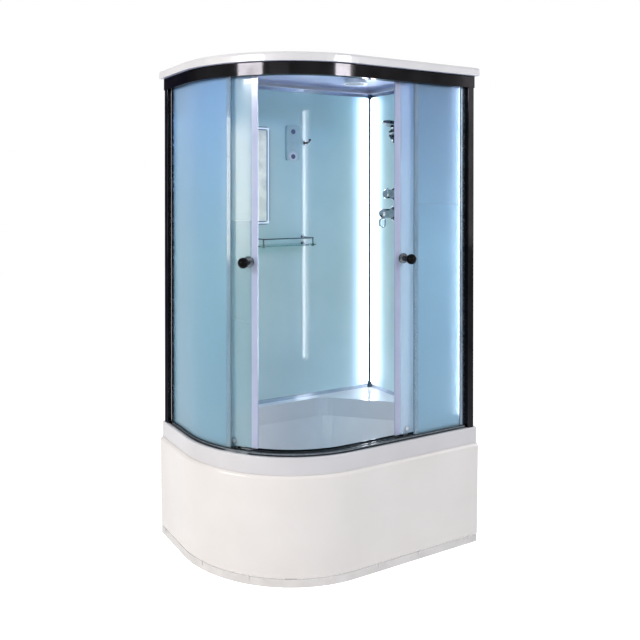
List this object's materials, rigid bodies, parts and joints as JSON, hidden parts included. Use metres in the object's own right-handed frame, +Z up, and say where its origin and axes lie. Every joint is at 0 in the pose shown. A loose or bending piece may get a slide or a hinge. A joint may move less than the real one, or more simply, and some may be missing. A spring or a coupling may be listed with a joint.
{
  "type": "shower cabin",
  "caption": "Free-standing offset-quadrant shower cabin: deep tray, glass walls, sliding doors on rollers, roof with rain head and fan, mixer, hand shower, mirror and shelf.",
  "frame": {"origin": "on the floor, in the middle of the whole cabin, door knobs and roof edge included", "axes": "+X towards the short wall along the long wall, +Y from the doors to the long wall, +Z up"},
  "size_m": [1.205, 0.823, 2.13],
  "materials": {
    "tray_acrylic": "polished acrylic",
    "apron_acrylic": "polished acrylic",
    "plinth_plastic": "smooth",
    "clip_plastic": "smooth",
    "frame_paint": "satin paint",
    "foot_steel": "zinc plated",
    "chrome": "polished",
    "trap_plastic": "moulded",
    "wall_glass": "glossy glass painted on its back",
    "wall_aluminium": "polished",
    "corner_aluminium": "satin",
    "dark_chrome": "polished dark",
    "glazing_aluminium": "satin",
    "light_diffuser": "emissive diffuser",
    "black_rubber": "smooth",
    "frosted_glass": "frosted",
    "edge_plastic": "smooth",
    "seal_plastic": "smooth",
    "black_ball": "polished",
    "bracket_steel": "brushed",
    "roller_nylon": "nylon",
    "roof_plastic": "smooth",
    "fan_plastic": "smooth",
    "rotor_plastic": "moulded",
    "mirror": "silvered glass",
    "mirror_border": "satin",
    "panel_plastic": "smooth",
    "power_plastic": "emissive ring light",
    "mode_plastic": "smooth",
    "clear_glass": "clear",
    "brass": "cast"
  },
  "bodies": {
    "cabin": {"tray_basin": "tray_acrylic", "tray_apron": "apron_acrylic", "apron_plinth": "plinth_plastic", "apron_clips": "clip_plastic", "tray_frame": "frame_paint", "levelling_feet": "foot_steel", "waste_strainer": "chrome", "waste_trap": "trap_plastic", "back_wall_panel": "wall_glass", "side_wall_panel": "wall_glass", "corner_profile": "corner_aluminium", "wall_rails": "wall_aluminium", "left_post": "dark_chrome", "right_post": "dark_chrome", "glazing_profiles": "glazing_aluminium", "light_strips": "light_diffuser", "header_rail": "dark_chrome", "bottom_rail": "chrome", "sill_gasket": "black_rubber", "left_fixed_glass": "frosted_glass", "right_fixed_glass": "frosted_glass", "fixed_glass_edges": "edge_plastic", "roof_shell": "roof_plastic", "rain_head": "chrome", "fan_housing": "fan_plastic", "mirror_glass": "mirror", "mirror_frame": "mirror_border", "control_panel": "panel_plastic", "shelf_glass": "clear_glass", "shelf_rail": "chrome", "robe_hook": "chrome", "mixer_valve": "brass", "mixer_plates": "chrome", "hose_outlet": "chrome"},
    "left_door": {"left_door_glass": "frosted_glass", "left_door_seal": "seal_plastic", "left_knob": "black_ball", "left_knob_base": "chrome", "left_door_brackets": "bracket_steel"},
    "right_door": {"right_door_glass": "frosted_glass", "right_door_seal": "seal_plastic", "right_knob": "black_ball", "right_knob_base": "chrome", "right_door_brackets": "bracket_steel"},
    "power_button": {"power_button": "power_plastic"},
    "mode_button": {"mode_button": "mode_plastic"},
    "diverter_knob": {"diverter_knob": "chrome"},
    "mixer_cap": {"mixer_cap": "chrome"},
    "mixer_lever": {"mixer_lever": "chrome"},
    "hand_shower_bracket": {"hand_shower_bracket": "chrome"},
    "hand_shower": {"hand_shower": "chrome"},
    "fan_rotor": {"fan_rotor": "rotor_plastic"},
    "left_top_roller_front": {"left_top_roller_front": "roller_nylon"},
    "left_top_roller_rear": {"left_top_roller_rear": "roller_nylon"},
    "right_top_roller_front": {"right_top_roller_front": "roller_nylon"},
    "right_top_roller_rear": {"right_top_roller_rear": "roller_nylon"},
    "left_low_roller_front": {"left_low_roller_front": "roller_nylon"},
    "left_low_roller_rear": {"left_low_roller_rear": "roller_nylon"},
    "right_low_roller_front": {"right_low_roller_front": "roller_nylon"},
    "right_low_roller_rear": {"right_low_roller_rear": "roller_nylon"}
  },
  "joints": [
    {"name": "left_door_slide", "type": "hinge", "parent": "cabin", "child": "left_door", "pos_m": [-0.0575, 0.1515, 1.29], "axis": [0, 0, 1], "range_deg": [-3.5, 45.9]},
    {"name": "right_door_slide", "type": "slide", "parent": "cabin", "child": "right_door", "axis": [1, 0, 0], "range_m": [-0.2375, 0.012]},
    {"name": "left_top_roller_front_spin", "type": "hinge", "parent": "left_door", "child": "left_top_roller_front", "pos_m": [-0.45589, -0.09025, 2.0643], "axis": [0.8549, 0.5188, 0], "range_deg": [-169, 2144]},
    {"name": "left_top_roller_rear_spin", "type": "hinge", "parent": "left_door", "child": "left_top_roller_rear", "pos_m": [-0.51373, 0.2464, 2.0643], "axis": [0.979, -0.2037, 0], "range_deg": [-169, 2144]},
    {"name": "right_top_roller_front_spin", "type": "hinge", "parent": "right_door", "child": "right_top_roller_front", "pos_m": [0.2425, -0.3145, 2.0643], "axis": [0, 1, 0], "range_deg": [-1366, 74]},
    {"name": "right_top_roller_rear_spin", "type": "hinge", "parent": "right_door", "child": "right_top_roller_rear", "pos_m": [0.4505, -0.3145, 2.0643], "axis": [0, 1, 0], "range_deg": [-1366, 74]},
    {"name": "left_low_roller_front_spin", "type": "hinge", "parent": "left_door", "child": "left_low_roller_front", "pos_m": [-0.45589, -0.09025, 0.5233], "axis": [0.8549, 0.5188, 0], "range_deg": [-187, 2382]},
    {"name": "left_low_roller_rear_spin", "type": "hinge", "parent": "left_door", "child": "left_low_roller_rear", "pos_m": [-0.51373, 0.2464, 0.5233], "axis": [0.979, -0.2037, 0], "range_deg": [-187, 2382]},
    {"name": "right_low_roller_front_spin", "type": "hinge", "parent": "right_door", "child": "right_low_roller_front", "pos_m": [0.2425, -0.3145, 0.5233], "axis": [0, 1, 0], "range_deg": [-1517, 82]},
    {"name": "right_low_roller_rear_spin", "type": "hinge", "parent": "right_door", "child": "right_low_roller_rear", "pos_m": [0.4505, -0.3145, 0.5233], "axis": [0, 1, 0], "range_deg": [-1517, 82]},
    {"name": "power_button_press", "type": "slide", "parent": "cabin", "child": "power_button", "axis": [0, 1, 0], "range_m": [0, 0.0012], "stiffness_N_per_m": 600},
    {"name": "mode_button_press", "type": "slide", "parent": "cabin", "child": "mode_button", "axis": [0, 1, 0], "range_m": [0, 0.0012], "stiffness_N_per_m": 600},
    {"name": "diverter_turn", "type": "hinge", "parent": "cabin", "child": "diverter_knob", "pos_m": [0.5345, 0.1675, 1.558], "axis": [-1, 0, 0], "range_deg": [-60, 60]},
    {"name": "mixer_turn", "type": "hinge", "parent": "cabin", "child": "mixer_cap", "pos_m": [0.5165, 0.1675, 1.46], "axis": [-1, 0, 0], "range_deg": [-45, 45]},
    {"name": "lever_tilt", "type": "hinge", "parent": "mixer_cap", "child": "mixer_lever", "pos_m": [0.4905, 0.1675, 1.441], "axis": [0, 1, 0], "range_deg": [0, 25]},
    {"name": "bracket_swivel", "type": "hinge", "parent": "cabin", "child": "hand_shower_bracket", "pos_m": [0.5345, 0.1635, 1.862], "axis": [0, 0, 1], "range_deg": [-40, 15]},
    {"name": "hand_shower_turn", "type": "hinge", "parent": "hand_shower_bracket", "child": "hand_shower", "pos_m": [0.50292, 0.06022, 1.862], "axis": [0, 0, 1], "range_deg": [-60, 60]},
    {"name": "fan_spin", "type": "hinge", "parent": "cabin", "child": "fan_rotor", "pos_m": [0.3325, 0.1815, 2.113], "axis": [0, 0, 1], "continuous": true}
  ],
  "couplings": [
    {"joint": "left_top_roller_front_spin", "follows": "left_door_slide", "ratio": 46.6},
    {"joint": "left_top_roller_rear_spin", "follows": "left_door_slide", "ratio": 46.6},
    {"joint": "right_top_roller_front_spin", "follows": "right_door_slide", "rad_per_m": 100},
    {"joint": "right_top_roller_rear_spin", "follows": "right_door_slide", "rad_per_m": 100},
    {"joint": "left_low_roller_front_spin", "follows": "left_door_slide", "ratio": 51.778},
    {"joint": "left_low_roller_rear_spin", "follows": "left_door_slide", "ratio": 51.778},
    {"joint": "right_low_roller_front_spin", "follows": "right_door_slide", "rad_per_m": 111.11},
    {"joint": "right_low_roller_rear_spin", "follows": "right_door_slide", "rad_per_m": 111.11}
  ]
}
